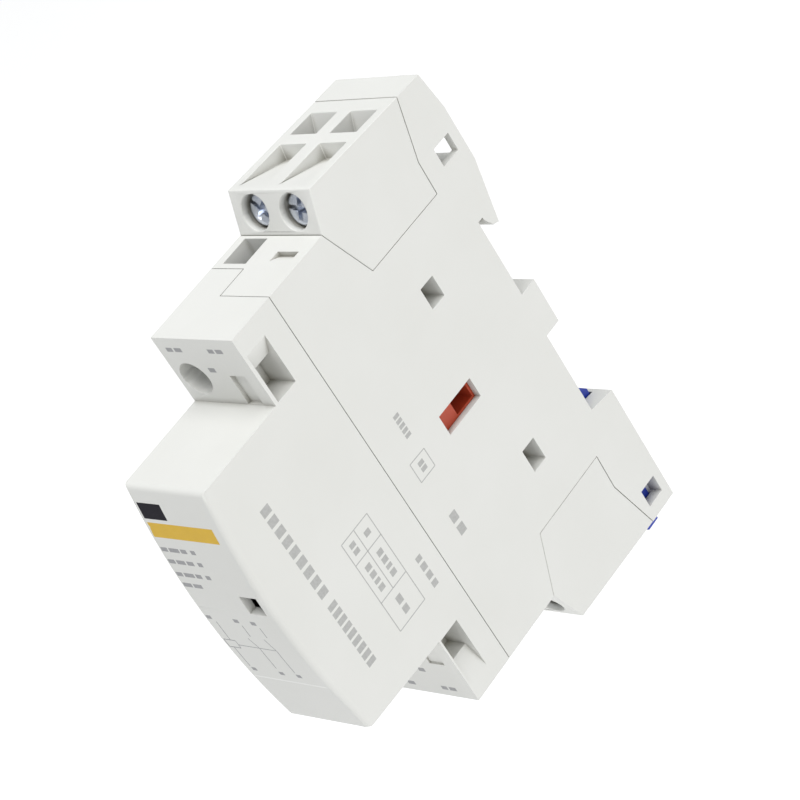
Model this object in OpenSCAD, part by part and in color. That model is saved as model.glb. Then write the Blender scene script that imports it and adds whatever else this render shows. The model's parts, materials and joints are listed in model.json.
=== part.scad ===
// One-module DIN-rail contactor, two poles.
// Frame: X across the width, Y from the nose (-Y) to the mounting rail (+Y), Z up.
// Origin: mid-width, on the rail contact plane, at half height.

/* [Housing] */
// Overall width, one installation module
body_w = 17.5; // [17.5:0.1:18]
// Side wall thickness
wall = 1.2; // [1.1:0.05:1.3]
// Distance from the rail contact plane to the crest of the curved nose
nose_depth = 65.7; // [65.5:0.1:66]
// Radius of the curved nose face
nose_r = 135.5; // [134:0.5:140]
// Rounding of the nose's front edges
nose_fillet = 0.9; // [0.5:0.1:1.2]
// Top and bottom levels of the nose
nose_top = 24.3; // [24.2:0.1:24.4]
nose_bottom = 23.2; // [23.1:0.1:23.3]
// Distance from the rail contact plane to the front of the middle steps
step_depth = 46.4; // [46.3:0.1:46.6]
// Top and bottom levels of the middle steps
step_top = 36.4; // [36.3:0.1:36.5]
step_bottom = 35.9; // [35.8:0.1:36]
// Distance from the rail contact plane to the seam between base and front cover
seam_depth = 37.5; // [37.4:0.1:37.6]
// Visible gap along each seam
seam_gap = 0.12; // [0.08:0.02:0.16]

/* [Rail] */
// Width of the mounting rail
rail_w = 35; // [35:35]
// Depth of the mounting hook behind the rail contact plane
hook_depth = 5.6; // [5.5:0.1:5.7]
// Half width of the clip's hook
clip_half_w = 5; // [4.8:0.1:5.2]
// Thickness of the clip's plate
clip_t = 2.8; // [2.6:0.1:2.9]

/* [Power terminals] */
// Distance of each pole from the middle
pole_x = 4.1; // [4:0.05:4.15]
// Slope of the terminal screws
screw_slope = 20.56; // [20.5:0.02:20.6]
// Radius of the screwdriver hole
screw_hole_r = 2.8; // [2.8:0.05:3]
// Radius of the power screw's head and shank
screw_head_r = 2.6; // [2.5:0.05:2.65]
screw_shank_r = 2; // [1.9:0.05:2]

/* [Coil terminals] */
// Place of the coil terminals across the width and above the middle
coil_term_x = -4.8; // [-4.85:0.05:-4.75]
coil_term_z = 28.8; // [28.7:0.1:28.9]
// Radius of the coil screw's access hole, head and shank
coil_hole_r = 2.9; // [2.8:0.05:2.9]
coil_head_r = 2.4; // [2.3:0.05:2.5]
coil_shank_r = 1.5; // [1.4:0.05:1.5]

/* [Mechanism] */
// Travel of the contact carrier
travel = 3.5; // [3:0.1:3.5]
// Half thickness of the iron stack
stack_half = 4.2; // [4:0.1:4.2]
// Wire radius and mean coil radius of the return springs
return_wire_r = 0.25; // [0.2:0.05:0.3]
return_coil_r = 1.35; // [1.3:0.05:1.4]
// Wire radius and mean coil radius of the contact springs
contact_wire_r = 0.25; // [0.2:0.05:0.3]
contact_coil_r = 1.7; // [1.6:0.05:1.8]

/* [Hidden] */
$fn = 48;

white = "#e6e6e1";
steel = "#b9bcc0";
zinc = "#c9ccd2";
copper = "#c08552";
silver = "#d9d9dc";
half = body_w / 2;
inner = half - wall;
over = 1;                    // how far a cutter runs past the face it cuts

// Terminal block outline: slanted screw face, top, rear and underside
block_front = [-24.7, step_top];
block_crown = [-22.3, 42.8];
block_back_top = [-0.83, 41.84];
block_knee = [-3.6, 32];
block_back = [-3.7, 26.2];
block_foot = [-20.6, 26.2];
block_upper = [block_front, block_crown, block_back_top, block_knee, block_back, block_foot];
// The lower block is the upper one mirrored, with a slightly deeper underside
block_drop = 43.45;
block_lower = [[-24.7, -step_bottom], [-22.1, -43], [-0.93, -block_drop], [-3.95, -32.9],
  [-3.8, -26.4], [-20.6, -26.4]];
block_shrink = 0.994;        // leaves the seam round each terminal block

// Blind locating pockets in the right side wall
pocket_y = [-15.3, -12.2];
pocket_z = [[14.2, 18], [-18.6, -14.4]];
pocket_depth = 4.5;

// Indicator window in the nose, and the flag's plate behind it
flag_window_x = [3.5, 7.1];
flag_window_z = [2.45, 5.8];
flag_y = [-60, -59.2];
flag_overlap = 0.5;

// Rail interface
rail_slot_top = rail_w / 2 + 0.1;
rail_t = 1;
tongue_top = 3.5;
tongue_bottom = -4.85;
lower_shelf = -20.2;
hook_hollow_x = 7.4;         // half width and height span of the hollow behind the hook
hook_hollow_z = [26.4, 33.5];
side_hole_depth = 3.7;       // from the rail contact plane, for both side holes

// Nose face: an arc about an axis along X
nose_cy = nose_r - nose_depth;
nose_cz = 0.4;
crease_z = -12.5;
nose_steps = 12;
nose_wall = 1.35;
function front_y(z, inset = 0) = nose_cy - sqrt(pow(nose_r - inset, 2) - pow(z - nose_cz, 2));
function front_arc(z0, z1, inset = 0) =
  [for (i = [0 : nose_steps]) let (z = z0 + (z1 - z0) * i / nose_steps) [front_y(z, inset), z]];
nose_edge = [front_y(nose_top - nose_fillet) + nose_fillet, nose_top - nose_fillet];
function top_round() = [for (a = [90 : 22.5 : 157.5]) nose_edge + nose_fillet * [cos(a), sin(a)]];

// How much the room round a screw's head differs from its guide hole
hole_step = 0.2;

// Power terminal, measured along the screw (u) from the slanted face
face_centre = (block_front + block_crown) / 2;
head_top = 1.4;
head_seat = 4.6;
cage_room = [6.2, 19.2];
cage_u = [8.8, 18.6];
cage_top_t = 1.4;
cage_bottom_t = 1.3;
cage_half = [3.1, 3.1];
cage_wall = 0.95;
tongue_u = [12, 13.2];
room_x = [0.6, inner];       // a pole's room in the terminal block
funnel_x = [1.4, 7.1];       // a pole's recesses in the block's top

// Contacts
strip_y = [-18.4, -17.2];
strip_half = 1.9;
strip_end_z = 6.2;
tip_z = 8.3;
tip_r = 1.4;
tip_t = 1;
bridge_t = 1;
bridge_half_z = 10.4;
bridge_clear = 0.05;         // what is left between the tips at full travel
bridge_y = strip_y[1] + tip_t + bridge_clear + travel + tip_t;

// Magnet
yoke_y = -58.4;
yoke_t = 4;
pole_y = -45.4;
leg_half = 4;
outer_leg = [12.9, 17.5];
armature_y = [-41.8, -38.2];
bobbin_y = [-54.2, -45.6];
bobbin_flange = 0.8;
winding_half = [5.75, 11.2];
winding_y = [bobbin_y[0] + bobbin_flange + 0.05, bobbin_y[1] - bobbin_flange - 0.05];
lead_x = -4.9;
lead_y = -50;
crossbar_y = [-38.15, -36.4];
spring_z = 19.9;
spring_seat_y = -48;
pin_r = 1;
pin_y = -40;
rivet_r = 1.2;
rivet_y = yoke_y + yoke_t / 2;
rivet_z = [-15, -5, 5, 15];
fit = 0.02;

// Carrier
carrier_half_z = 3;
carrier_half_x = inner - 0.25;
carrier_rear = [-5.2, -3.6];
block_y = -25.5;
window_y = [-24.6, -16.3];
window_z = [-2, 1.6];
socket_y = [-20.7, -16.7];

// Coil terminals
coil_cage_y = [-34.4, -26];
coil_cage_half = [2.5, 2.75];
coil_tongue_y = [-31.6, -30.8];
coil_strip_z = [20.7, 21.5];
coil_head_y = [-39.3, -37.5];

// ---------- helpers ----------

// Outline in (y, z), drawn out along X from x0 to x1
module slab(x0, x1, outline) {
  translate([x0, 0, 0]) rotate([90, 0, 90]) linear_extrude(x1 - x0) polygon(outline);
}

module box(x, y, z) {
  translate([x[0], y[0], z[0]]) cube([x[1] - x[0], y[1] - y[0], z[1] - z[0]]);
}

// Cylinder along +Y from y[0] to y[1]
module rod_y(r, y) {
  translate([0, y[0], 0]) rotate([-90, 0, 0]) cylinder(r = r, h = y[1] - y[0]);
}

// Cylinder along X, centred
module rod_x(r, length) {
  rotate([0, 90, 0]) cylinder(r = r, h = length, center = true);
}

function grow(span, by) = [span[0] - by, span[1] + by];

function shrink(outline, k) =
  let (c = [for (i = [0, 1]) (max([for (p = outline) p[i]]) + min([for (p = outline) p[i]])) / 2])
  [for (p = outline) c + (p - c) * k];

// Power terminal frame: +Y runs in along the screw, +Z along the wire
module at_power(up, side) {
  mirror([0, 0, up ? 0 : 1])
    translate([side * pole_x, face_centre[0], face_centre[1]])
      rotate([-screw_slope, 0, 0]) children();
}

module at_coil(up) {
  mirror([0, 0, up ? 0 : 1]) translate([coil_term_x, 0, coil_term_z]) children();
}

// Cross-slot head and plain shank, head top at y[0], seat at y[1], tip at y[2]
module clamp_screw(head_r, shank_r, y) {
  slot_w = head_r * 0.28;
  slot_d = head_r * 0.42;
  difference() {
    union() {
      rod_y(head_r, [y[0], y[1]]);
      rod_y(shank_r, [y[1], y[2]]);
    }
    for (a = [0, 90]) rotate([0, a, 0])
      translate([-head_r * 0.72, y[0] - over, -slot_w / 2]) cube([head_r * 1.44, over + slot_d, slot_w]);
    translate([-head_r - over, y[0] - over, -slot_w / 2])
      cube([2 * (head_r + over), over + slot_d * 0.7, slot_w]);
  }
}

// Rectangular clamp, open along Z, threaded through its top plate
module clamp_cage(half_size, y, top_t, bottom_t, side_t, hole_r) {
  difference() {
    box([-half_size[0], half_size[0]], y, [-half_size[1], half_size[1]]);
    box([-half_size[0] + side_t, half_size[0] - side_t], [y[0] + top_t, y[1] - bottom_t],
      [-half_size[1] - over, half_size[1] + over]);
    rod_y(hole_r, [y[0] - over, y[0] + top_t + over]);
  }
}

// Helix of round wire along +Y, sides and steps kept coarse
module coil_spring(coil_r, wire_r, y0, y1, turns) {
  sides = 8;
  per_turn = 14;
  rings = turns * per_turn;
  rise = (y1 - y0 - 2 * wire_r) / rings;
  ring = function (i) let (a = 360 * i / per_turn) [for (k = [0 : sides - 1])
    let (b = 360 * k / sides, r = coil_r + wire_r * cos(b))
      [r * cos(a), y0 + wire_r + rise * i + wire_r * sin(b), r * sin(a)]];
  points = [for (i = [0 : rings]) each ring(i)];
  skin = [for (i = [0 : rings - 1], k = [0 : sides - 1])
    let (a = i * sides + k, b = i * sides + (k + 1) % sides) [a, a + sides, b + sides, b]];
  polyhedron(points, concat([[for (k = [0 : sides - 1]) k]], skin,
    [[for (k = [sides - 1 : -1 : 0]) rings * sides + k]]));
}

// ---------- housing ----------

base_outline = concat(
  [[-seam_depth + seam_gap / 2, step_top]], [block_front, block_foot, block_back, block_knee, block_back_top],
  [[4.5, 41.6], [hook_depth, 34.8], [hook_depth, 25.2], [3.4, 14.9], [2.2, 15.3],
   [rail_t + 0.1, 17.2], [rail_t + 0.1, rail_slot_top], [0, rail_slot_top],
   [0, tongue_top], [3.45, tongue_top], [3.45, tongue_bottom], [0, tongue_bottom],
   [0, lower_shelf], [5.4, lower_shelf - 0.8], [5.4, -block_drop + 0.05]],
  [block_lower[2], block_lower[3], block_lower[4], block_lower[5], block_lower[0]],
  [[-seam_depth + seam_gap / 2, -step_bottom]]);

// Channel for the rail clip and the recesses in the back
module back_recesses() {
  box([-clip_half_w - 0.25, clip_half_w + 0.25], [0, 4.6], [-29.5, -16]);
  box([-6.75, 6.75], [0, clip_t + 0.5], [-block_drop - over, -29.4]);
  box([-6.2, 6.2], [2, hook_depth + over], [-41.4, -36.2]);
  box([-hook_hollow_x, hook_hollow_x], [-0.1, hook_depth + over], hook_hollow_z);
  box([-half - over, half + over], [-0.1, side_hole_depth], [28.3, 31.5]);
  box([-half - over, half + over], [0, side_hole_depth], [-41.1, -37.9]);
}

// Hollow for one coil clamp, its wire slot and its screw
module coil_terminal_room(top) {
  at_coil(true) {
    box([-2.7, 2.7], [-36.3, -25.6], [-5, 3.1]);
    box([-2.3, 2.6], [-30.7, -25.3], [3, top - coil_term_z + over]);
    rod_y(coil_shank_r + 0.25, [-seam_depth - over, -36]);
  }
  box([-0.9, inner - 0.1], [-seam_depth - over, -25.8], [26.2, top - 1.2]);
  box([-half - over, -1.58], [-seam_depth - over, -31.74], [top - 1.3, top + over]);
}

module base_housing() color(white) {
  difference() {
    union() {
      difference() {
        slab(-half, half, base_outline);
        box([-inner, inner], [-seam_depth - over, -1.6], [-25, 25]);
      }
      for (z = [[6.5, 25.1], [-25.1, -6.5]]) box([-0.5, 0.5], [-26, -1.5], z);
      for (z = pocket_z)
        box([half - pocket_depth - 0.9, inner + 0.1], grow(pocket_y, 0.9), grow(z, 0.9));
    }
    back_recesses();
    box([-inner + 0.2, inner - 0.2], [-2, 2.2], [-3.6, 2.3]);
    for (z = pocket_z) box([half - pocket_depth, half + over], pocket_y, z);
    box([inner - over, half + over], window_y, window_z);
    coil_terminal_room(step_top);
    mirror([0, 0, 1]) coil_terminal_room(step_bottom);
    for (x = [-pole_x, pole_x], z = [[24.5, 26.7], [-26.7, -24.5]])
      box([x - strip_half - 0.3, x + strip_half + 0.3], [-16.6, -14], z);
    slab(2.4, 6.9, [[-30.2, step_top + 0.05], [-28.1, step_top - 0.9], [-28.1, step_top + over],
      [-30.2, step_top + over]]);
  }
}

cover_outline = concat(
  [[-seam_depth - seam_gap / 2, step_top], [-step_depth, step_top], [-step_depth, nose_top]],
  top_round(), front_arc(nose_top - nose_fillet, crease_z),
  [[-63.8, -22.3], [-63.2, -22.6], [-step_depth + 0.3, -nose_bottom], [-step_depth + 0.3, -step_bottom],
   [-seam_depth - seam_gap / 2, -step_bottom]]);

nose_room = concat([[-30, nose_top - 1.4]], front_arc(nose_top - 1.4, crease_z, nose_wall),
  [[-62.4, -21.8], [-30, -21.8]]);

// Everything inside the nose's front edge rounding, as a body turned about the nose's own axis
module nose_rounding() {
  flat = half - nose_fillet;
  corner = [for (a = [0 : 22.5 : 67.5])
    [nose_r - nose_fillet + nose_fillet * cos(a), flat + nose_fillet * sin(a)]];
  profile = concat([[0, -half - over], [nose_r - nose_fillet, -half - over]],
    [[nose_r - nose_fillet, -half]], [for (i = [3 : -1 : 0]) [corner[i][0], -corner[i][1]]],
    [[nose_r + over, -flat], [nose_r + over, flat]], corner,
    [[nose_r - nose_fillet, half], [nose_r - nose_fillet, half + over], [0, half + over]]);
  translate([0, nose_cy, nose_cz]) rotate([0, 90, 0]) rotate_extrude($fn = 96) polygon(profile);
}

// Hollows of one middle step: screw tunnel, latch pocket, shallow notch, lightening
module step_hollows(top, notch_floor) {
  pocket_x = 3.35;
  pocket_front = -step_depth + 0.65;
  at_coil(true) {
    rod_y(coil_hole_r, [-step_depth - over, coil_head_y[0] - 0.1]);
    rod_y(coil_hole_r - hole_step, [coil_head_y[0] - 0.2, -30]);
  }
  difference() {
    box([pocket_x, half + over], [pocket_front, -41.5], [notch_floor, 33]);
    slab_ramp = [[pocket_x - over, notch_floor + 5.3], [half - 1.7, notch_floor + 5.3],
      [half + 0.1, 33.2], [pocket_x - over, 33.2]];
    translate([0, -41.5 + over, 0]) rotate([90, 0, 0])
      linear_extrude(step_depth - 41.5 + over) polygon(slab_ramp);
  }
  box([3.1, 6.3], [-step_depth - over, -step_depth + 0.6], [notch_floor, notch_floor + 5.3]);
  box([-1.4, 2.4], [-step_depth + 1.2, -30], [20, top - 1.3]);
  box([-1.4, inner - 0.1], [-40.5, -30], [20, top - 1.3]);
}

module front_cover() color(white) {
  difference() {
    union() {
      difference() {
        intersection() {
          slab(-half, half, cover_outline);
          nose_rounding();
        }
        slab(-inner + 0.1, inner - 0.1, nose_room);
      }
      for (z = [[18.1, 23.5], [-22.5, -18.1]]) box([-3, 3], [-50, spring_seat_y - 0.03], z);
      for (z = [[9, 16], [-16, -9]]) box([-3.5, 3.5], [-64.5, -60.4], z);
      for (z = [[step_top - 1.2, step_top], [-step_bottom, -step_bottom + 1.2]])
        box([-half, -1.7], [-seam_depth - over, -31.86], z);
    }
    step_hollows(step_top, nose_top + 0.1);
    mirror([0, 0, 1]) step_hollows(step_bottom, nose_bottom + 0.2);
    box(flag_window_x, [-nose_depth - over, flag_y[0]], flag_window_z);
  }
}

// Clamp rooms, wire funnels and screw holes of one terminal block
module block_hollows(side) {
  x = [room_x[0] - pole_x, room_x[1] - pole_x];
  xs = side > 0 ? x : [-x[1], -x[0]];
  fs = side > 0 ? [funnel_x[0] - pole_x, funnel_x[1] - pole_x] : [pole_x - funnel_x[1], pole_x - funnel_x[0]];
  at_power(true, side) {
    rod_y(screw_hole_r, [-over, head_top - 0.1]);
    rod_y(screw_hole_r + hole_step, [head_top - 0.1, head_seat + 0.05]);
    rod_y(screw_shank_r + 0.2, [head_seat, cage_room[0] + over]);
    box(xs, cage_room, [-cage_half[1] - 0.3, cage_half[1] + 0.25]);
    box(xs, [tongue_u[0] - 0.8, 17.4], [-14, -cage_half[1]]);
    slab(fs[0], fs[1], [[13.3, 3.2], [17.3, 3.2], [17.92, 12], [12.15, 12]]);
  }
  wedge_x = side > 0 ? funnel_x : [-funnel_x[1], -funnel_x[0]];
  slab(wedge_x[0], wedge_x[1], [[-21.4, 42.8], [-11.8, 39.7], [-11.3, 42.6], [-11.3, 44], [-21.4, 44]]);
}

module upper_terminal_block() color(white)
  difference() {
    slab(-half, half, shrink(block_upper, block_shrink));
    for (side = [-1, 1]) block_hollows(side);
  }

module lower_terminal_block() color(white)
  difference() {
    slab(-half, half, shrink(block_lower, block_shrink));
    for (side = [-1, 1]) mirror([0, 0, 1]) block_hollows(side);
  }

// ---------- rail clip ----------

module rail_clip() color("#2438a0") {
  tip_z0 = -rail_w / 2 + 0.9;
  front = 0.2;
  back = front + clip_t;
  difference() {
    union() {
      slab(-clip_half_w, clip_half_w, [[rail_t + 0.15, tip_z0], [4.3, tip_z0 - 3.3], [4.3, -23.5],
        [back, -25], [back, -30], [front, -30], [front, -18], [rail_t + 0.15, -18]]);
      box([-6.4, 6.4], [front, back], [-43, -29.9]);
      box([-clip_half_w - 0.2, clip_half_w + 0.2], [front, back], [-47, -42.9]);
    }
    box([-2.2, 2.2], [front - over, back + over], [-46, -44.4]);
  }
}

// ---------- magnet ----------

module fixed_core() color("#8b8d90")
  difference() {
    union() {
      box([-stack_half, stack_half], [yoke_y, yoke_y + yoke_t], [-outer_leg[1], outer_leg[1]]);
      for (z = [[-leg_half, leg_half], outer_leg, [-outer_leg[1], -outer_leg[0]]])
        box([-stack_half, stack_half], [yoke_y + yoke_t - 0.1, pole_y], z);
    }
    for (z = [[14.85, 15.65], [-15.65, -14.85]])
      box([-stack_half - over, stack_half + over], [-47.25, pole_y + over], z);
    for (z = rivet_z) translate([0, rivet_y, z]) rod_x(rivet_r + fit, 2 * stack_half + 2);
  }

module core_rivets() color(steel)
  for (z = rivet_z) translate([0, rivet_y, z]) {
    rod_x(rivet_r, 2 * stack_half + 0.2);
    for (s = [-1, 1]) translate([s * (stack_half + 0.23), 0, 0]) rod_x(rivet_r + 0.5, 0.4);
  }

module shading_rings() color(copper)
  for (m = [0, 1]) mirror([0, 0, m])
    difference() {
      box([-4.75, 4.75], [-47.2, -46.2], [14.9, 18.15]);
      box([-stack_half - 0.03, stack_half + 0.03], [-48, -45], [15.6, outer_leg[1] + 0.05]);
    }

module core_cushion() color("#2b2b2b")
  for (m = [0, 1]) mirror([0, 0, m]) box([-3.4, 3.4], [-60.35, yoke_y - 0.05], [9.2, 15.8]);

module bobbin_window(x, z, y) {
  box([-x, x], y, [-z, z]);
}

module coil_bobbin() color("#e9e2cf")
  difference() {
    union() {
      bobbin_window(5, 4.8, bobbin_y);
      bobbin_window(6.1, 12.2, [bobbin_y[0], bobbin_y[0] + bobbin_flange]);
      bobbin_window(6.1, 12.2, [bobbin_y[1] - bobbin_flange, bobbin_y[1]]);
    }
    bobbin_window(stack_half + 0.15, leg_half + 0.15, [bobbin_y[0] - over, bobbin_y[1] + over]);
  }

// Round-cornered sleeve between two half sizes, along Y
module sleeve(outer, hole, r, y) {
  difference() {
    union() {
      bobbin_window(outer[0] - r, outer[1], y);
      bobbin_window(outer[0], outer[1] - r, y);
      for (sx = [-1, 1], sz = [-1, 1]) translate([sx * (outer[0] - r), 0, sz * (outer[1] - r)]) rod_y(r, y);
    }
    bobbin_window(hole[0], hole[1], [y[0] - over, y[1] + over]);
  }
}

module coil_winding() color("#a8542c") sleeve(winding_half, [5.03, 4.83], 0.6, winding_y);

module coil_tape() color("#d8b54a")
  difference() {
    sleeve(winding_half + [0.17, 0.17], [1, 1], 0.77, grow(winding_y, -0.1));
    union() {
      bobbin_window(winding_half[0] - 0.5, winding_half[1] + 0.02, winding_y);
      bobbin_window(winding_half[0] + 0.02, winding_half[1] - 0.5, winding_y);
      for (sx = [-1, 1], sz = [-1, 1])
        translate([sx * (winding_half[0] - 0.6), 0, sz * (winding_half[1] - 0.6)]) rod_y(0.62, winding_y);
    }
    for (sz = [-1, 1]) translate([lead_x, lead_y, sz * winding_half[1]]) cylinder(r = 0.45, h = 2, center = true);
  }

module coil_leads() color(copper)
  for (m = [0, 1]) mirror([0, 0, m])
    translate([lead_x, lead_y, winding_half[1] + 0.02]) cylinder(r = 0.3, h = coil_strip_z[0] - winding_half[1] - 0.04);

// Strip from the coil clamp down and forward to the coil lead
module coil_strip(up) {
  t = coil_tongue_y[1] - coil_tongue_y[0];
  mirror([0, 0, up ? 0 : 1]) slab(coil_term_x - 1.4, coil_term_x + 1.4, [
    [coil_tongue_y[0], coil_term_z + 2.5], [coil_tongue_y[1], coil_term_z + 2.5],
    [coil_tongue_y[1], coil_strip_z[0]], [lead_y - 1.2, coil_strip_z[0]],
    [lead_y - 1.2, coil_strip_z[1]], [coil_tongue_y[0], coil_strip_z[1]]]);
}

module coil_strip_a1() color(copper) coil_strip(true);
module coil_strip_a2() color(copper) coil_strip(false);

module coil_cage() clamp_cage(coil_cage_half, coil_cage_y, 0.9, 0.9, 0.8, coil_shank_r + 0.06);
module coil_cage_a1() color(zinc) at_coil(true) coil_cage();
module coil_cage_a2() color(zinc) at_coil(false) coil_cage();

module coil_screw() clamp_screw(coil_head_r, coil_shank_r, [coil_head_y[0], coil_head_y[1], coil_tongue_y[0] - 0.05]);
module coil_screw_a1() color(zinc) at_coil(true) coil_screw();
module coil_screw_a2() color(zinc) at_coil(false) coil_screw();

// ---------- moving system ----------

module armature() color("#8b8d90")
  difference() {
    box([-stack_half, stack_half], armature_y, [-outer_leg[1], outer_leg[1]]);
    translate([0, pin_y, 0]) rod_x(pin_r + fit, 2 * stack_half + 2);
  }

module armature_pin() color(steel) translate([0, pin_y, 0]) rod_x(pin_r, 10.6);

module contact_carrier() color("#b8402f")
  difference() {
    union() {
      box([-2.6, 2.6], [crossbar_y[0], block_y + 0.1], [-2.8, 2.8]);
      box([-4.3, 4.3], crossbar_y, [-17.8, 17.8]);
      box([-2.4, 2.4], crossbar_y, [-21.5, 21.5]);
      box([-5.4, 5.4], crossbar_y, [-2.2, 2.2]);
      for (x = [[stack_half + 0.15, 5.4], [-5.4, -stack_half - 0.15]])
        box(x, [-41.4, crossbar_y[1]], [-2.2, 2.2]);
      box([-carrier_half_x, carrier_half_x], [block_y, carrier_rear[1]], [-carrier_half_z, carrier_half_z]);
      box([0, inner - 0.1], [block_y, -15.2], [-2.6, 2.2]);
    }
    for (x = [[1.5, 6.55], [-6.55, -1.5]])
      box(x, [bridge_y - fit, carrier_rear[0]], [-carrier_half_z - over, carrier_half_z + over]);
    box([0.9, half], socket_y, [-1.7, 1.5]);
    translate([0, pin_y, 0]) rod_x(pin_r + fit, 14);
  }

module indicator_flag() color("#5b5a3c") {
  arm_x = [6.4, 7.2];
  foot_y = [-38.2, -36.8];
  box(arm_x, [flag_y[0], foot_y[1]], [0.3, 3.1]);
  box([flag_window_x[0] - flag_overlap, arm_x[1]], flag_y, grow(flag_window_z, flag_overlap));
  box([5.45, arm_x[1]], foot_y, [0.3, 2.1]);
}

module return_spring(up) translate([0, 0, up ? spring_z : -spring_z])
  coil_spring(return_coil_r, return_wire_r, spring_seat_y + 0.02, crossbar_y[0] - 0.03, 7);

module return_spring_upper() color(steel) return_spring(true);
module return_spring_lower() color(steel) return_spring(false);

module bridge(side) translate([side * pole_x, 0, 0])
  box([-strip_half, strip_half], [bridge_y, bridge_y + bridge_t], [-bridge_half_z, bridge_half_z]);
module bridge_left() color(copper) bridge(-1);
module bridge_right() color(copper) bridge(1);

module bridge_tips(side)
  for (z = [-tip_z, tip_z]) translate([side * pole_x, 0, z]) rod_y(tip_r, [bridge_y - tip_t, bridge_y]);
module bridge_tips_left() color(silver) bridge_tips(-1);
module bridge_tips_right() color(silver) bridge_tips(1);

module contact_spring(side) translate([side * pole_x, 0, 0])
  coil_spring(contact_coil_r, contact_wire_r, bridge_y + bridge_t + 0.03, carrier_rear[0] - 0.03, 5);
module contact_spring_left() color(steel) contact_spring(-1);
module contact_spring_right() color(steel) contact_spring(1);

// ---------- power path ----------

// From the terminal frame (u, w) to the upper half's (y, z)
function to_yz(p) = face_centre + [
  p[0] * cos(screw_slope) + p[1] * sin(screw_slope),
  -p[0] * sin(screw_slope) + p[1] * cos(screw_slope)];

// Where the slanted strip's edge meets a vertical line at y
function strip_bend(u, y) = let (p = to_yz([u, 0])) [y, p[1] + (y - p[0]) / tan(screw_slope)];

module fixed_contact(up, side)
  mirror([0, 0, up ? 0 : 1])
    slab(side * pole_x - strip_half, side * pole_x + strip_half, [
      to_yz([tongue_u[0], 2.9]), to_yz([tongue_u[1], 2.9]), strip_bend(tongue_u[1], strip_y[1]),
      [strip_y[1], strip_end_z], [strip_y[0], strip_end_z], strip_bend(tongue_u[0], strip_y[0])]);
module fixed_contact_upper_left() color(copper) fixed_contact(true, -1);
module fixed_contact_upper_right() color(copper) fixed_contact(true, 1);
module fixed_contact_lower_left() color(copper) fixed_contact(false, -1);
module fixed_contact_lower_right() color(copper) fixed_contact(false, 1);

module fixed_tips() color(silver)
  for (side = [-1, 1], z = [-tip_z, tip_z])
    translate([side * pole_x, 0, z]) rod_y(tip_r, [strip_y[1], strip_y[1] + tip_t]);

module power_cage(up, side) at_power(up, side)
  clamp_cage(cage_half, cage_u, cage_top_t, cage_bottom_t, cage_wall, screw_shank_r + 0.06);
module power_cage_upper_left() color(zinc) power_cage(true, -1);
module power_cage_upper_right() color(zinc) power_cage(true, 1);
module power_cage_lower_left() color(zinc) power_cage(false, -1);
module power_cage_lower_right() color(zinc) power_cage(false, 1);

module power_screw(up, side) at_power(up, side)
  clamp_screw(screw_head_r, screw_shank_r, [head_top, head_seat, tongue_u[0] - 0.05]);
module power_screw_upper_left() color(zinc) power_screw(true, -1);
module power_screw_upper_right() color(zinc) power_screw(true, 1);
module power_screw_lower_left() color(zinc) power_screw(false, -1);
module power_screw_lower_right() color(zinc) power_screw(false, 1);

base_housing();
front_cover();
upper_terminal_block();
lower_terminal_block();
rail_clip();
fixed_core();
core_rivets();
shading_rings();
core_cushion();
coil_bobbin();
coil_winding();
coil_tape();
coil_leads();
coil_strip_a1();
coil_strip_a2();
coil_cage_a1();
coil_cage_a2();
coil_screw_a1();
coil_screw_a2();
armature();
armature_pin();
contact_carrier();
indicator_flag();
return_spring_upper();
return_spring_lower();
bridge_left();
bridge_right();
bridge_tips_left();
bridge_tips_right();
contact_spring_left();
contact_spring_right();
fixed_contact_upper_left();
fixed_contact_upper_right();
fixed_contact_lower_left();
fixed_contact_lower_right();
fixed_tips();
power_cage_upper_left();
power_cage_upper_right();
power_cage_lower_left();
power_cage_lower_right();
power_screw_upper_left();
power_screw_upper_right();
power_screw_lower_left();
power_screw_lower_right();
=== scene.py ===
"""Looks, light and camera for the one-module DIN-rail contactor. Metres, in the CAD frame."""

import json
import math

import bmesh
import bpy
from mathutils import Matrix, Vector
from mathutils.bvhtree import BVHTree


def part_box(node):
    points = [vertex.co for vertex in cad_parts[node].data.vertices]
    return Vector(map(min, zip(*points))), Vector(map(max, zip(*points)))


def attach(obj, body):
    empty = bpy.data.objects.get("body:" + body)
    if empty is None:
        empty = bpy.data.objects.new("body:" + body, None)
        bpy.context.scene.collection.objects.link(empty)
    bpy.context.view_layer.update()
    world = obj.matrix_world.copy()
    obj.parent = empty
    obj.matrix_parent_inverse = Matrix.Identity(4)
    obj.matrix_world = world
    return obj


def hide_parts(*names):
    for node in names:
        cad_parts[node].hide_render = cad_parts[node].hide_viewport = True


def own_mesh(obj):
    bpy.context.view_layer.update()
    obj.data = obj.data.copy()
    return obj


MM = 0.001
MICRON = 1e-6

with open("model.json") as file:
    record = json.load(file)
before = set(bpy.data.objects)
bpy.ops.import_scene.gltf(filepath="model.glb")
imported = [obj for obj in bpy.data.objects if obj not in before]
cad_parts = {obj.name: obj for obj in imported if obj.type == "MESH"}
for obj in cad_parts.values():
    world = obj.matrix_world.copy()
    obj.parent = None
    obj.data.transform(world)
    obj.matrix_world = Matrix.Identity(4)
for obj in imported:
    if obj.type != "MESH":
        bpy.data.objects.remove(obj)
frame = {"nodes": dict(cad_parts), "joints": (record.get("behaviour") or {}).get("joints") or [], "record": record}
nodes = frame["nodes"]
joints = {j["name"]: j for j in frame["joints"]}
slot_of = {s["node"]: s["material_slot"] for s in frame["record"]["subparts"]}
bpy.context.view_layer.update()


# ---------- materials ----------

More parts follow.
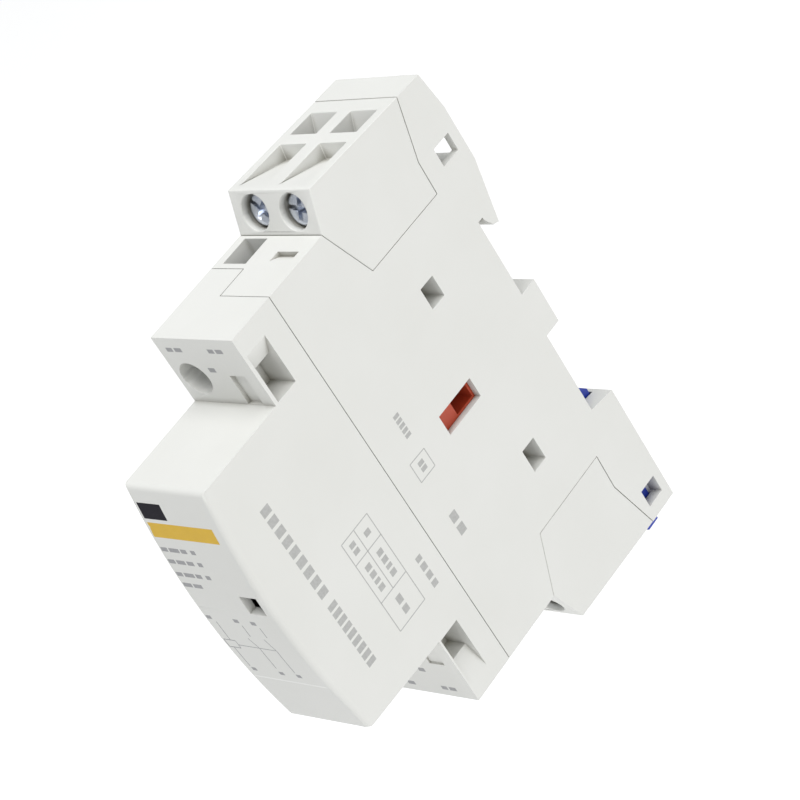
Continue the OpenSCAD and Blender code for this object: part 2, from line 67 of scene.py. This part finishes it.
WAVE_UNIT = 10          # a wave texture of scale 1 turns through 2 * 10 radians in a metre
TINT_SHARE = 0.94       # the second colour, where none is given
ROUGH_SWING = 0.05
ROUGH_LEAST = 0.02
COAT_ROUGH = 0.15
# how far the painted shade in seams and hollows reaches
PAINTED_SHADE_REACH = 2.2 * MM


def link(tree, a, b):
    tree.links.new(a, b)


def add(tree, kind, **values):
    made = tree.nodes.new(kind)
    for key, value in values.items():
        if key in made.inputs:
            made.inputs[key].default_value = value
        else:
            setattr(made, key, value)
    return made


def noise(tree, place, scale, detail=3.0, stretch=(1, 1, 1)):
    mapping = add(tree, "ShaderNodeMapping", Scale=stretch)
    link(tree, place.outputs["Object"], mapping.inputs["Vector"])
    made = add(tree, "ShaderNodeTexNoise", Scale=scale, Detail=detail)
    link(tree, mapping.outputs["Vector"], made.inputs["Vector"])
    return made.outputs["Fac"]


def bands(tree, place, axis, density, distortion):
    """Stripes square to an axis, density / pi of them in a metre."""
    wave = add(tree, "ShaderNodeTexWave", wave_type="BANDS", bands_direction=axis,
               Scale=density / WAVE_UNIT, Distortion=distortion, Detail=1.0)
    wave.inputs["Detail Scale"].default_value = 2.0
    link(tree, place.outputs["Object"], wave.inputs["Vector"])
    return wave.outputs["Fac"]


def swing(tree, fac, low, high, spread=0.25):
    """A value between low and high that follows fac around its middle."""
    made = add(tree, "ShaderNodeMapRange")
    made.inputs["From Min"].default_value = 0.5 - spread
    made.inputs["From Max"].default_value = 0.5 + spread
    made.inputs["To Min"].default_value = low
    made.inputs["To Max"].default_value = high
    link(tree, fac, made.inputs["Value"])
    return made.outputs["Result"]


def material(name, color, rough, metallic=0.0, tint=None, tint_scale=90.0, grain=4000.0,
             grain_um=4.0, stripes=None, stripe_um=0.0, stripe_tint=None, coat=0.0,
             stretch=(1, 1, 1), glow=0.0, gloss=0.5, painted_shade=None):
    """A plastic or metal with a wide tint, a fine grain, and stripes or painted shade in hollows where asked for.
    """
    mat = bpy.data.materials.new(name)
    mat.use_nodes = True
    tree = mat.node_tree
    shader = tree.nodes["Principled BSDF"]
    place = add(tree, "ShaderNodeTexCoord")
    wide = noise(tree, place, tint_scale, stretch=stretch)
    fine = noise(tree, place, grain, 4.0, stretch)

    blend = add(tree, "ShaderNodeMix", data_type="RGBA")
    blend.inputs[6].default_value = (*color, 1)
    blend.inputs[7].default_value = (*(tint or [c * TINT_SHARE for c in color]), 1)
    link(tree, swing(tree, wide, 0.0, 1.0), blend.inputs["Factor"])
    shown = blend.outputs[2]
    height = fine
    if stripes:
        lines = bands(tree, place, *stripes)
        if stripe_tint:
            over = add(tree, "ShaderNodeMix", data_type="RGBA")
            link(tree, shown, over.inputs[6])
            over.inputs[7].default_value = (*stripe_tint, 1)
            link(tree, swing(tree, lines, 0.0, 1.0, 0.5), over.inputs["Factor"])
            shown = over.outputs[2]
        if stripe_um:
            scaled = add(tree, "ShaderNodeMath", operation="MULTIPLY")
            scaled.inputs[1].default_value = stripe_um / grain_um
            link(tree, lines, scaled.inputs[0])
            total = add(tree, "ShaderNodeMath", operation="ADD")
            link(tree, scaled.outputs[0], total.inputs[0])
            link(tree, fine, total.inputs[1])
            height = total.outputs[0]
    if painted_shade:
        # painted shade: the colour darkens in seams and hollows, following an ambient occlusion mask
        shade_mask = add(tree, "ShaderNodeAmbientOcclusion", Distance=PAINTED_SHADE_REACH, samples=8)
        shaded_color = add(tree, "ShaderNodeMix", data_type="RGBA")
        shaded_color.inputs[6].default_value = (*painted_shade, 1)
        link(tree, shown, shaded_color.inputs[7])
        link(tree, swing(tree, shade_mask.outputs["AO"], 0.0, 1.0), shaded_color.inputs["Factor"])
        shown = shaded_color.outputs[2]
    bump = add(tree, "ShaderNodeBump", Strength=1.0, Distance=grain_um * MICRON)
    link(tree, height, bump.inputs["Height"])
    link(tree, bump.outputs["Normal"], shader.inputs["Normal"])
    link(tree, shown, shader.inputs["Base Color"])
    smoothest = max(rough - ROUGH_SWING, ROUGH_LEAST)
    link(tree, swing(tree, fine, smoothest, rough + ROUGH_SWING), shader.inputs["Roughness"])
    shader.inputs["Metallic"].default_value = metallic
    shader.inputs["Specular IOR Level"].default_value = gloss
    shader.inputs["Coat Weight"].default_value = coat
    shader.inputs["Coat Roughness"].default_value = COAT_ROUGH
    if glow:
        shader.inputs["Emission Color"].default_value = (*color, 1)
        shader.inputs["Emission Strength"].default_value = glow
    return mat


LOOKS = {
    # the housing gets painted shade, darker in its seams and hollows
    "housing_plastic": material("housing_plastic", (0.745, 0.745, 0.72), 0.52, tint=(0.715, 0.715, 0.685),
                                tint_scale=60, grain=2600, grain_um=3, painted_shade=(0.34, 0.33, 0.29)),
    "clip_plastic": material("clip_plastic", (0.02, 0.05, 0.42), 0.32, tint=(0.015, 0.035, 0.34), grain_um=2),
    "laminated_iron": material("laminated_iron", (0.45, 0.45, 0.46), 0.36, 1.0, tint=(0.33, 0.32, 0.31),
                               stripes=("X", 2000, 0.4), stripe_um=30, stripe_tint=(0.2, 0.19, 0.18)),
    "steel": material("steel", (0.62, 0.63, 0.65), 0.3, 1.0, stretch=(1, 6, 6)),
    "spring_steel": material("spring_steel", (0.58, 0.59, 0.62), 0.24, 1.0, tint=(0.45, 0.46, 0.5)),
    "cushion_rubber": material("cushion_rubber", (0.03, 0.03, 0.03), 0.75, grain_um=8),
    "bobbin_plastic": material("bobbin_plastic", (0.78, 0.72, 0.58), 0.4, tint=(0.74, 0.66, 0.5)),
    "enamelled_copper": material("enamelled_copper", (0.42, 0.11, 0.035), 0.25, 0.6, tint=(0.3, 0.07, 0.02),
                                 stripes=("Y", 5000, 0.2), stripe_um=60, stripe_tint=(0.2, 0.045, 0.015),
                                 coat=0.6),
    "coil_tape": material("coil_tape", (0.72, 0.47, 0.08), 0.2, tint=(0.6, 0.36, 0.05), coat=0.5, grain_um=2),
    "copper": material("copper", (0.80, 0.45, 0.26), 0.3, 1.0, tint=(0.62, 0.3, 0.16), tint_scale=300,
                       stretch=(5, 1, 1)),
    "silver_alloy": material("silver_alloy", (0.83, 0.83, 0.80), 0.3, 1.0, tint=(0.7, 0.69, 0.65)),
    "zinc_plate": material("zinc_plate", (0.80, 0.83, 0.90), 0.22, 1.0, tint=(0.52, 0.56, 0.64),
                           tint_scale=500, grain=1800, grain_um=4),
    "carrier_plastic": material("carrier_plastic", (0.50, 0.07, 0.028), 0.45, tint=(0.44, 0.055, 0.022),
                                grain_um=3),
    "flag_plastic": material("flag_plastic", (0.20, 0.19, 0.10), 0.4, tint=(0.16, 0.15, 0.075)),
}

PRINT_GREY = material("print_grey", (0.40, 0.40, 0.39), 0.6, tint=(0.48, 0.48, 0.47), tint_scale=3000)
PRINT_FINE = material("print_fine", (0.30, 0.30, 0.31), 0.6, tint=(0.38, 0.38, 0.39), tint_scale=3000)
PRINT_YELLOW = material("print_yellow", (0.72, 0.45, 0.02), 0.55, tint=(0.68, 0.42, 0.018), tint_scale=800)
PRINT_DARK = material("print_dark", (0.010, 0.009, 0.014), 0.6, tint=(0.016, 0.014, 0.022), tint_scale=800,
                      gloss=0.1)
# a painted highlight: the light line that the nose's crease catches
CREASE_HIGHLIGHT = material("crease_highlight", (0.86, 0.86, 0.84), 0.5, tint=(0.82, 0.82, 0.80), tint_scale=800)


# ---------- CAD nodes: finish and softened edges ----------

BEVEL_MM = {
    "housing_plastic": 0.16, "clip_plastic": 0.2, "laminated_iron": 0.1, "steel": 0.12,
    "cushion_rubber": 0.25, "bobbin_plastic": 0.15, "copper": 0.08, "silver_alloy": 0.15,
    "zinc_plate": 0.1, "carrier_plastic": 0.12, "flag_plastic": 0.1, "coil_tape": 0.03,
    "enamelled_copper": 0.1,
}
SHARP = math.radians(30)
FLAT = math.radians(0.4)
WELD_GAP = 1e-6
EDGE_STEPS = 2
SHADE_WEIGHT = 60

for name, node in nodes.items():
    slot = slot_of[name]
    node.data.materials.clear()
    node.data.materials.append(LOOKS[slot])
    if slot not in BEVEL_MM:
        continue
    weld = node.modifiers.new("weld", "WELD")
    weld.merge_threshold = WELD_GAP
    flatten = node.modifiers.new("flatten", "DECIMATE")
    flatten.decimate_type = "DISSOLVE"
    flatten.angle_limit = FLAT
    node.modifiers.new("split", "TRIANGULATE").ngon_method = "BEAUTY"
    bevel = node.modifiers.new("bevel", "BEVEL")
    bevel.width = BEVEL_MM[slot] * MM
    bevel.segments = EDGE_STEPS
    bevel.limit_method = "ANGLE"
    bevel.angle_limit = SHARP
    bevel.miter_outer = "MITER_ARC"
    shading = node.modifiers.new("shading", "WEIGHTED_NORMAL")
    shading.keep_sharp = False
    shading.weight = SHADE_WEIGHT


# ---------- pieces from mesh code ----------

def piece(name, verts, faces, look, body, smooth=True):
    mesh = bpy.data.meshes.new(name)
    mesh.from_pydata([tuple(v) for v in verts], [], faces)
    mesh.validate()
    mesh.update()
    return finish_piece(name, mesh, look, body, smooth)


def finish_piece(name, mesh, look, body, smooth=True):
    made = bpy.data.objects.new(name, mesh)
    bpy.context.scene.collection.objects.link(made)
    mesh.materials.clear()
    mesh.materials.append(look)
    if smooth:
        mesh.shade_smooth()
    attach(made, body)
    return made


def tree_of(node):
    mesh = nodes[node].data
    corners = [v.co.copy() for v in mesh.vertices]
    return BVHTree.FromPolygons(corners, [tuple(p.vertices) for p in mesh.polygons])


SKINS = {n: tree_of(n) for n in ("front_cover", "base_housing")}
PRINT_LIFT = 0.004 * MM
PRINT_ROOT = 0.02 * MM
CELL = 0.6 * MM
BESIDE, AHEAD = 0.02, -0.09     # where rays start, clear of the case: an x and a y


class Print:
    """Thin ink laid on a CAD face. Points are (u, v) in mm in the face's plane."""

    def __init__(self, name, node, facing, look):
        self.name, self.node, self.look = name, node, look
        self.out = Vector(facing)
        self.verts, self.faces = [], []

    def at(self, u, v):
        # a face to +X shows (y, z), one to -Y shows (x, z)
        if self.out.x > 0:
            start = Vector((BESIDE, u * MM, v * MM))
        else:
            start = Vector((u * MM, AHEAD, v * MM))
        return SKINS[self.node].ray_cast(start, -self.out)[0]

    def patch(self, corners):
        """A quadrilateral given by four (u, v) corners in order."""
        a, b, c, d = (Vector((*p, 0)) for p in corners)
        across = max(1, math.ceil(max((b - a).length, (c - d).length) * MM / CELL))
        along = max(1, math.ceil(max((d - a).length, (c - b).length) * MM / CELL))
        base = len(self.verts)
        for j in range(along + 1):
            left, right = a.lerp(d, j / along), b.lerp(c, j / along)
            for i in range(across + 1):
                p = left.lerp(right, i / across)
                hit = self.at(p.x, p.y)
                self.verts += [hit + self.out * PRINT_LIFT, hit - self.out * PRINT_ROOT]
        row = across + 1

        def at(i, j, under):
            return base + 2 * (j * row + i) + under

        for j in range(along):
            for i in range(across):
                top = [at(i, j, 0), at(i + 1, j, 0), at(i + 1, j + 1, 0), at(i, j + 1, 0)]
                self.faces += [top, [k + 1 for k in reversed(top)]]
        rim = ([(i, 0) for i in range(across)] + [(across, j) for j in range(along)]
               + [(i, along) for i in range(across, 0, -1)] + [(0, j) for j in range(along, 0, -1)])
        for p, q in zip(rim, rim[1:] + rim[:1]):
            self.faces.append([at(*q, 0), at(*p, 0), at(*p, 1), at(*q, 1)])

    def rect(self, u0, v0, u1, v1):
        self.patch([(u0, v0), (u1, v0), (u1, v1), (u0, v1)])

    def stroke(self, p, q, width):
        p, q = Vector(p), Vector(q)
        side = (q - p).normalized().orthogonal() * width / 2
        self.patch([p - side, p + side, q + side, q - side])

    def path(self, points, width):
        for p, q in zip(points, points[1:]):
            self.stroke(p, q, width)

    def dashes(self, start, end, height, lengths, gap, across):
        """A line of words, each a plain bar. across is the direction of the bar's height."""
        start, end, across = Vector(start), Vector(end), Vector(across).normalized() * height / 2
        total = sum(lengths) + gap * (len(lengths) - 1)
        way = (end - start) / total
        t = 0
        for length in lengths:
            p, q = start + way * t, start + way * (t + length)
            self.patch([p - across, q - across, q + across, p + across])
            t += length + gap

    def done(self):
        piece(self.name, self.verts, self.faces, self.look, "housing", smooth=False)


FRONT, RIGHT = (0, -1, 0), (1, 0, 0)

band = Print("print_band", "front_cover", FRONT, PRINT_YELLOW)
band.rect(-8.5, 15.6, 6.55, 18.2)
band.done()

mark = Print("print_mark", "front_cover", FRONT, PRINT_DARK)
mark.rect(-8.1, 18.85, -2.5, 21.6)
mark.done()

lines = Print("print_ratings", "front_cover", FRONT, PRINT_FINE)
LEFT_EDGE, WORD_GAP = -7.8, 0.35
for z, words in ((13.4, (1.4, 2.2, 1.3)), (11.2, (1.5, 1.9, 1.5)), (8.8, (1.4, 2.2, 1.3)),
                 (6.75, (1.9, 1.9))):
    end = LEFT_EDGE + sum(words) + WORD_GAP * (len(words) - 1)
    lines.dashes((LEFT_EDGE, z), (end, z), 0.75, words, WORD_GAP, (0, 1))
for z in (13.4, 11.2, 8.8):
    lines.dashes((-1.3, z), (-0.3, z), 0.75, (1,), 0, (0, 1))
lines.done()

diagram = Print("print_diagram", "front_cover", FRONT, PRINT_FINE)
THIN = 0.17
diagram.path([(-6.2, -0.5), (-6.2, -4.4)], THIN)
diagram.path([(-7.7, -4.4), (-5.15, -4.4), (-5.15, -6.0), (-7.7, -6.0), (-7.7, -4.4)], THIN)
diagram.path([(-6.7, -6.0), (-6.7, -10.3)], THIN)
diagram.path([(-0.55, -0.5), (-0.55, -2.8)], THIN)
diagram.path([(-1.5, -3.3), (-0.55, -5.3), (-0.55, -9.8)], THIN)
diagram.path([(3.26, -0.5), (3.26, -2.5)], THIN)
diagram.path([(2.2, -3.0), (3.1, -5.4), (3.1, -10.2)], THIN)
diagram.path([(-5.15, -5.3), (2.9, -5.3)], THIN * 0.8)
for x, top, bottom in ((-7.3, 0.3, -10.9), (-1.3, 0.3, -10.9), (2.4, 0.3, -10.9)):
    diagram.dashes((x - 0.5, top), (x + 0.6, top), 0.7, (1,), 0, (0, 1))
    diagram.dashes((x + 0.5, bottom), (x + 1.5, bottom), 0.7, (1,), 0, (0, 1))
diagram.done()

# painted highlight along the crease across the nose
crease_highlight = Print("nose_crease_highlight", "front_cover", FRONT, CREASE_HIGHLIGHT)
crease_highlight.rect(-8.3, -12.85, 8.3, -12.55)
crease_highlight.done()

steps = Print("print_step_marks", "front_cover", FRONT, PRINT_FINE)
for z in (34.2, -34.2):
    for x0, x1 in ((-7.0, -3.7), (2.0, 5.1)):
        steps.dashes((x0, z), (x1, z), 0.75, (1.3, 1.5), 0.4, (0, 1))
for z in (30.6, -30.6):
    steps.dashes((-0.6, z), (0.8, z), 0.8, (1,), 0, (0, 1))
steps.done()

title = Print("print_title", "front_cover", RIGHT, PRINT_GREY)
LETTERS = 9
for z0, z1 in ((15.4, -2.0), (-3.6, -15.9)):
    title.dashes((-57.2, z0), (-57.2, z1), 1.8, (1.0,) * LETTERS, 0.42, (1, 0))
title.done()

# The rating table: rows along the part's height, with a bar for each entry
table = Print("print_table", "front_cover", RIGHT, PRINT_GREY)
ROWS = (-50.45, -47.38, -44.0)
COLUMNS = (1.15, -3.05, -10.6, -16.4)
RULE = 0.16
table.stroke((ROWS[0], COLUMNS[0]), (ROWS[0], COLUMNS[3]), RULE)
table.stroke((ROWS[1], COLUMNS[0]), (ROWS[1], COLUMNS[2]), RULE)
table.stroke((ROWS[2], COLUMNS[0]), (ROWS[2], COLUMNS[3]), RULE)
for z in COLUMNS:
    table.stroke((ROWS[0], z), (ROWS[2], z), RULE)
for y, z0, z1, words in ((-45.7, -0.5, -1.5, (1,)), (-48.9, 0.1, -2.0, (1, 1)),
                         (-45.8, -4.4, -9.4, (1, 1, 0.7, 1)), (-48.8, -4.4, -9.4, (1, 1, 0.7, 1)),
                         (-47.5, -12.0, -15.3, (1, 0.9)),
                         (-41.0, -10.6, -16.6, (0.8, 1, 1, 0.9))):
    table.dashes((y, z0), (y, z1), 1.2, words, 0.4, (1, 0))
table.done()

marks = Print("print_base_marks", "base_housing", RIGHT, PRINT_GREY)
marks.dashes((-30.8, 7.9), (-30.8, 3.6), 1.2, (1,) * 5, 0.4, (1, 0))
frame_line = [(-33.4, 0.4), (-29.8, 0.3), (-29.8, -3.15), (-33.4, -3.15), (-33.4, 0.4)]
marks.path(frame_line, RULE)
marks.dashes((-31.6, -0.5), (-31.6, -2.3), 1.2, (1, 1), 0.3, (1, 0))
marks.dashes((-31.9, -10.7), (-31.9, -14.8), 1.5, (1, 1), 0.4, (1, 0))
marks.done()


# ---------- screws ----------

def turned(profile, sides=48):
    """Verts and faces of a profile of (radius, depth), turned about the depth axis (+Z here)."""
    verts, faces = [], []
    for r, s in profile:
        for k in range(sides):
            a = 2 * math.pi * k / sides
            verts.append(Vector((r * math.cos(a), r * math.sin(a), s)))
    for i in range(len(profile) - 1):
        for k in range(sides):
            n = (k + 1) % sides
            faces.append([i * sides + k, i * sides + n, (i + 1) * sides + n, (i + 1) * sides + k])
    faces.append(list(range(sides))[::-1])
    last = (len(profile) - 1) * sides
    faces.append([last + k for k in range(sides)])
    return verts, faces


def prism(corners, s0, s1, taper=1.0):
    """A closed solid over a flat outline from depth s0 to s1, shrunk by taper at s1."""
    count = len(corners)
    verts = [Vector((x, y, s0)) for x, y in corners]
    verts += [Vector((x * taper, y * taper, s1)) for x, y in corners]
    faces = [list(range(count))[::-1], [count + k for k in range(count)]]
    faces += [[k, (k + 1) % count, count + (k + 1) % count, count + k] for k in range(count)]
    return verts, faces


def cross_outline(reach, half):
    quarter = [(reach, -half), (reach, half), (half, half)]
    out = []
    for turn in range(4):
        c, s = math.cos(turn * math.pi / 2), math.sin(turn * math.pi / 2)
        out += [(c * x - s * y, s * x + c * y) for x, y in quarter]
    return out


def loose_mesh(verts, faces):
    mesh = bpy.data.meshes.new("work")
    mesh.from_pydata([tuple(v) for v in verts], [], faces)
    work = bmesh.new()
    work.from_mesh(mesh)
    bmesh.ops.recalc_face_normals(work, faces=work.faces)
    work.to_mesh(mesh)
    work.free()
    made = bpy.data.objects.new("work", mesh)
    bpy.context.scene.collection.objects.link(made)
    return made


def carved(solid, cutters, bevel_mm):
    """The mesh of a solid with cutters taken out of it and its edges eased."""
    base = loose_mesh(*solid)
    tools = [loose_mesh(*c) for c in cutters]
    for tool in tools:
        cut = base.modifiers.new("cut", "BOOLEAN")
        cut.operation, cut.solver, cut.object = "DIFFERENCE", "EXACT", tool
    ease = base.modifiers.new("ease", "BEVEL")
    ease.width, ease.segments, ease.limit_method, ease.angle_limit = bevel_mm * MM, EDGE_STEPS, "ANGLE", SHARP
    bpy.context.view_layer.update()
    done = bpy.data.meshes.new_from_object(base.evaluated_get(bpy.context.evaluated_depsgraph_get()))
    for work in (base, *tools):
        bpy.data.objects.remove(work)
    return done


def thread(r_out, r_root, pitch, s0, s1, sides=32):
    """A threaded shank from s0 to s1, open at both ends."""
    steps = 4       # rows to a turn: two at the root, two at the crest
    verts, faces = [], []
    rows = math.ceil((s1 - s0) / pitch) * steps
    for i in range(rows + 1):
        for k in range(sides + 1):
            s = s0 + pitch * (i / steps + k / sides - 1)
            level = (r_root, r_root, r_out, r_out)[i % steps]
            a = 2 * math.pi * k / sides
            verts.append(Vector((level * math.cos(a), level * math.sin(a), min(max(s, s0), s1))))
    row = sides + 1
    for i in range(rows):
        for k in range(sides):
            faces.append([i * row + k, i * row + k + 1, (i + 1) * row + k + 1, (i + 1) * row + k])
    return verts, faces


def axis_frame(joint):
    """The matrix that puts +Z on the joint's axis, X across the part, and its origin on the axis."""
    z = Vector(joint["axis"]).normalized()
    x = Vector((1, 0, 0))
    m = Matrix((x, z.cross(x), z)).transposed().to_4x4()
    m.translation = Vector(joint["pos_m"])
    return m


def along_axis(node, place):
    """Each vertex of a CAD node as (radius, depth) in an axis frame."""
    back = place.inverted()
    found = [back @ v.co for v in nodes[node].data.vertices]
    return [(math.hypot(p.x, p.y), p.z) for p in found]


SCREW_TURN = {"power_screw_upper_left": 38, "power_screw_upper_right": 12, "power_screw_lower_left": 65,
              "power_screw_lower_right": 20, "coil_screw_a1": 30, "coil_screw_a2": 75}
PITCH = {"power_screw": 0.7 * MM, "coil_screw": 0.5 * MM}
# Shares of the head's radius
SLOT_REACH, SLOT_HALF, SLOT_DEPTH = 1.2, 0.13, 0.30
CROSS_REACH, CROSS_HALF, CROSS_DEPTH, CROSS_TAPER = 0.66, 0.16, 0.62, 0.42


def screw(node, pitch):
    place = axis_frame(joints[node + "_turn"])
    spots = along_axis(node, place)
    head_r = max(r for r, _ in spots)
    top, tip = min(s for _, s in spots), max(s for _, s in spots)
    seat = max(s for r, s in spots if r > head_r * 0.9)
    shank_r = max(r for r, s in spots if s > seat + 1e-5)
    head = [(head_r - 0.5 * MM, top), (head_r - 0.18 * MM, top + 0.09 * MM), (head_r, top + 0.32 * MM),
            (head_r, seat - 0.15 * MM), (head_r - 0.15 * MM, seat), (shank_r, seat)]
    reach, half = head_r * SLOT_REACH, head_r * SLOT_HALF
    cutters = [prism([(-reach, -half), (reach, -half), (reach, half), (-reach, half)],
                     top - MM, top + head_r * SLOT_DEPTH),
               prism(cross_outline(head_r * CROSS_REACH, head_r * CROSS_HALF),
                     top - 0.02 * MM, top + head_r * CROSS_DEPTH, CROSS_TAPER)]
    mesh = carved(turned(head), cutters, 0.05)
    turn = Matrix.Rotation(math.radians(SCREW_TURN[node]), 4, "Z")
    mesh.transform(place @ turn)
    made = finish_piece(node + "_head", mesh, LOOKS["zinc_plate"], node)
    verts, faces = thread(shank_r, shank_r - 0.5 * pitch, pitch, seat - 0.05 * MM, tip)
    shank = piece(node + "_thread", [place @ v for v in verts], faces, LOOKS["zinc_plate"], node)
    for part in (made, shank):
        shade = part.modifiers.new("shading", "WEIGHTED_NORMAL")
        shade.weight = SHADE_WEIGHT
    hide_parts(node)


for name in nodes:
    for kind, pitch in PITCH.items():
        if name.startswith(kind):
            screw(name, pitch)


# ---------- springs ----------

def spring(node, body, turns):
    """A round-wire spring with closed ends in the CAD spring's place."""
    low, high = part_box(node)
    middle = (low + high) / 2
    wire = 0.25 * MM
    coil = (high.z - low.z) / 2 - wire
    sides, per_turn, closed = 12, 28, 0.8
    rings = int(turns * per_turn)
    room = (high.y - low.y) - 2 * wire
    rest = 2 * wire * 1.02
    verts, faces = [], []

    def rise(t):
        """Height of the wire's centre after t turns."""
        free = turns - 2 * closed
        if t < closed:
            return rest * t
        if t > turns - closed:
            return room - rest * (turns - t)
        return rest * closed + (room - 2 * rest * closed) * (t - closed) / free

    for i in range(rings + 1):
        a = 2 * math.pi * i / per_turn
        y = low.y + wire + rise(i / per_turn)
        for k in range(sides):
            b = 2 * math.pi * k / sides
            r = coil + wire * math.cos(b)
            verts.append(Vector((middle.x + r * math.cos(a), y + wire * math.sin(b),
                                 middle.z + r * math.sin(a))))
    for i in range(rings):
        for k in range(sides):
            n = (k + 1) % sides
            faces.append([i * sides + k, (i + 1) * sides + k, (i + 1) * sides + n, i * sides + n])
    faces += [list(range(sides)), [rings * sides + k for k in range(sides)][::-1]]
    made = piece(node + "_coil", verts, faces, LOOKS["spring_steel"], body)
    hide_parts(node)
    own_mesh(made)


for side in ("upper", "lower"):
    spring(f"return_spring_{side}", "housing", 7)
for side in ("left", "right"):
    spring(f"contact_spring_{side}", "carrier", 5)


# ---------- stage, light, camera ----------

FLOOR_Z = -0.19
FLOOR_HALF = 6
floor_mesh = bpy.data.meshes.new("floor")
floor_corners = ((-1, -1), (1, -1), (1, 1), (-1, 1))
floor_mesh.from_pydata([(x * FLOOR_HALF, y * FLOOR_HALF, FLOOR_Z) for x, y in floor_corners],
                       [], [[0, 1, 2, 3]])
floor = bpy.data.objects.new("floor", floor_mesh)
bpy.context.scene.collection.objects.link(floor)
floor_mesh.materials.append(material("floor", (0.6, 0.6, 0.6), 0.9, tint=(0.59, 0.59, 0.59), glow=1.02))


def area_light(name, place, aim, size, watts, color):
    lamp = bpy.data.lights.new(name, "AREA")
    lamp.shape, lamp.size, lamp.energy, lamp.color = "DISK", size, watts, color
    made = bpy.data.objects.new(name, lamp)
    made.location = place
    made.rotation_euler = (Vector(aim) - Vector(place)).to_track_quat("-Z", "Y").to_euler()
    bpy.context.scene.collection.objects.link(made)


MIDDLE = (0, -0.03, 0)
area_light("top_light", (0.1, -0.08, 0.8), MIDDLE, 0.7, 5.4, (1.0, 1.0, 1.0))
area_light("side_light", (0.8, -0.1, 0.25), MIDDLE, 0.6, 1.45, (1.0, 0.985, 0.95))

world = bpy.data.worlds.new("world")
bpy.context.scene.world = world
world.use_nodes = True
sky = world.node_tree.nodes["Background"]
sky.inputs["Color"].default_value = (0.96, 0.985, 1.0, 1)
sky.inputs["Strength"].default_value = 0.45

camera_data = bpy.data.cameras.new("camera")
camera_data.sensor_width = 36
camera_data.lens = 122.154
camera_data.clip_start, camera_data.clip_end = 0.01, 20
camera = bpy.data.objects.new("camera", camera_data)
camera.location = (0.28902594, -0.21648352, 0.20091079)
camera.rotation_euler = [math.radians(a) for a in (55.81254081, 28.29198933, 38.3317743)]
bpy.context.scene.collection.objects.link(camera)
bpy.context.scene.camera = camera
bpy.context.scene.view_settings.view_transform = "Standard"
